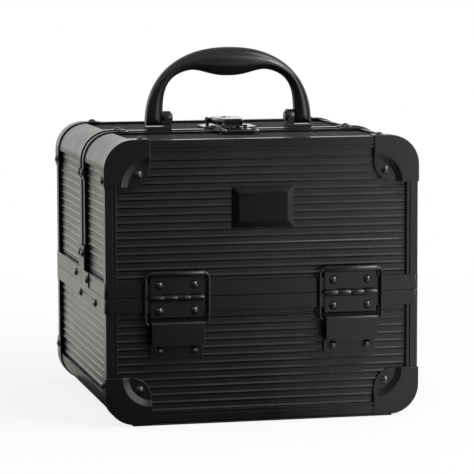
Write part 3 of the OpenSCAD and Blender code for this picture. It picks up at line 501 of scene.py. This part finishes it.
def floor_paper():
    """The camera sees it white with a faint shadow. Gloss sees paper behind, and in front a
    painted shade at the left that runs into a painted pool of light at the right.
    """
    n = Nodes("floor_paper")
    place = n.new("ShaderNodeTexCoord").outputs["Object"]
    split = n.new("ShaderNodeSeparateXYZ")
    n.link(place, split.inputs[0])
    back = n.span(split.outputs["Y"], 0.0, 1.0, BACK_FROM, BACK_TO)
    fan = n.math("DIVIDE", split.outputs["X"],
                 n.math("SUBTRACT", FAN_TIP_Y, split.outputs["Y"]))
    # Painted shade at the front left, fanning out into painted light towards the right
    front = n.mix(n.span(fan, 0.0, 1.0, FAN_FROM, FAN_TO), PAINTED_SHADE_FRONT, PAINTED_LIGHT_RIGHT)
    n.set(Base_Color=n.mix(back, front, n.ramp(n.noise(3.0), *PAPER)), Roughness=0.9,
          Specular_IOR_Level=0.1)
    white = n.new("ShaderNodeEmission")
    white.inputs["Color"].default_value = (1, 1, 1, 1)
    pale = n.new("ShaderNodeBsdfDiffuse")
    pale.inputs["Color"].default_value = (*SEEN_COLOUR, 1)
    seen = n.new("ShaderNodeMixShader")
    apart = n.new("ShaderNodeVectorMath", operation="LENGTH")
    n.link(place, apart.inputs[0])
    n.link(n.span(apart.outputs["Value"], SEEN_NEAR, SEEN_FAR, NEAR_REACH, FAR_REACH),
           seen.inputs[0])
    n.link(pale.outputs[0], seen.inputs[1])
    n.link(white.outputs[0], seen.inputs[2])
    final = n.new("ShaderNodeMixShader")
    n.link(n.new("ShaderNodeLightPath").outputs["Is Camera Ray"], final.inputs[0])
    n.link(n.bsdf.outputs[0], final.inputs[1])
    n.link(seen.outputs[0], final.inputs[2])
    n.link(final.outputs[0], n.out.inputs[0])
    return n.mat


def make_floor():
    bm = bmesh.new()
    bmesh.ops.create_grid(bm, x_segments=8, y_segments=8, size=FLOOR_HALF)
    o = object_from(bm, "floor")
    o.data.materials.append(floor_paper())


# ---- light and background ----

WORLD_COLOUR = (0.985, 1.0, 0.96)
FRONT_GLOW = 0.125      # what gloss sees in front of, behind and above the case, 1 is white
BACK_GLOW = 1.0
TOP_GLOW = 0.50
FRONT_TO_BACK = (-0.35, 0.45)       # directions' Y and Z between these tones
SIDE_TO_TOP = (0.14, 0.75)


def make_world():
    """Studio: white for the camera. Otherwise a pale backdrop, a wide top light, a dark front."""
    world = bpy.data.worlds.new("studio")
    bpy.context.scene.world = world
    world.use_nodes = True
    t = world.node_tree
    t.nodes.clear()
    out = t.nodes.new("ShaderNodeOutputWorld")
    seen = t.nodes.new("ShaderNodeBackground")
    seen.inputs[0].default_value = (1, 1, 1, 1)
    seen.inputs[1].default_value = 1.0
    lit = t.nodes.new("ShaderNodeBackground")
    lit.inputs[0].default_value = (*WORLD_COLOUR, 1)
    tex = t.nodes.new("ShaderNodeTexCoord")
    split = t.nodes.new("ShaderNodeSeparateXYZ")
    t.links.new(tex.outputs["Generated"], split.inputs[0])

    def grade(value, band, lo, hi):
        """Runs smoothly from lo to hi over the band."""
        m = t.nodes.new("ShaderNodeMapRange")
        m.interpolation_type = "SMOOTHSTEP"
        m.inputs["From Min"].default_value, m.inputs["From Max"].default_value = band
        for socket, v in ((m.inputs["To Min"], lo), (m.inputs["To Max"], hi)):
            if isinstance(v, float):
                socket.default_value = v
            else:
                t.links.new(v, socket)
        t.links.new(value, m.inputs["Value"])
        return m.outputs[0]

    around = grade(split.outputs["Y"], FRONT_TO_BACK, FRONT_GLOW, BACK_GLOW)
    t.links.new(grade(split.outputs["Z"], SIDE_TO_TOP, around, TOP_GLOW), lit.inputs[1])
    path = t.nodes.new("ShaderNodeLightPath")
    mix = t.nodes.new("ShaderNodeMixShader")
    t.links.new(path.outputs["Is Camera Ray"], mix.inputs[0])
    t.links.new(lit.outputs[0], mix.inputs[1])
    t.links.new(seen.outputs[0], mix.inputs[2])
    t.links.new(mix.outputs[0], out.inputs[0])


LAMP_COLOUR = (0.98, 1, 0.97)
# Name, place, aim, width and height, and how bright the box looks, where 1 is white
LAMPS = [
    ("front_right", (1.32, -1.76, 0.72), (0, 0, 0.12), (1.45, 1.5), 2.1),
    ("key", (1.15, -1.47, 1.29), (0, 0, 0.12), (0.42, 0.42), 24.0),
    ("top_right", (0.74, -0.30, 0.98), (0, 0, 0.15), (0.6, 0.7), 4.0),
    ("rim", (-1.80, 0.88, 0.45), (0, 0, 0.15), (0.16, 1.0), 9.0),
]


def area(name, place, aim, size, radiance):
    """A soft box. Its power follows from its size and from how bright it looks."""
    light = bpy.data.lights.new(name, "AREA")
    light.shape = "RECTANGLE"
    light.size, light.size_y = size
    light.energy = radiance * math.pi * size[0] * size[1]
    light.color = LAMP_COLOUR
    o = bpy.data.objects.new(name, light)
    link_to_scene(o)
    o.location = place
    o.rotation_euler = (Vector(aim) - Vector(place)).to_track_quat("-Z", "Y").to_euler()


make_floor()
make_world()
for lamp in LAMPS:
    area(*lamp)
bpy.context.scene.view_settings.view_transform = "Standard"
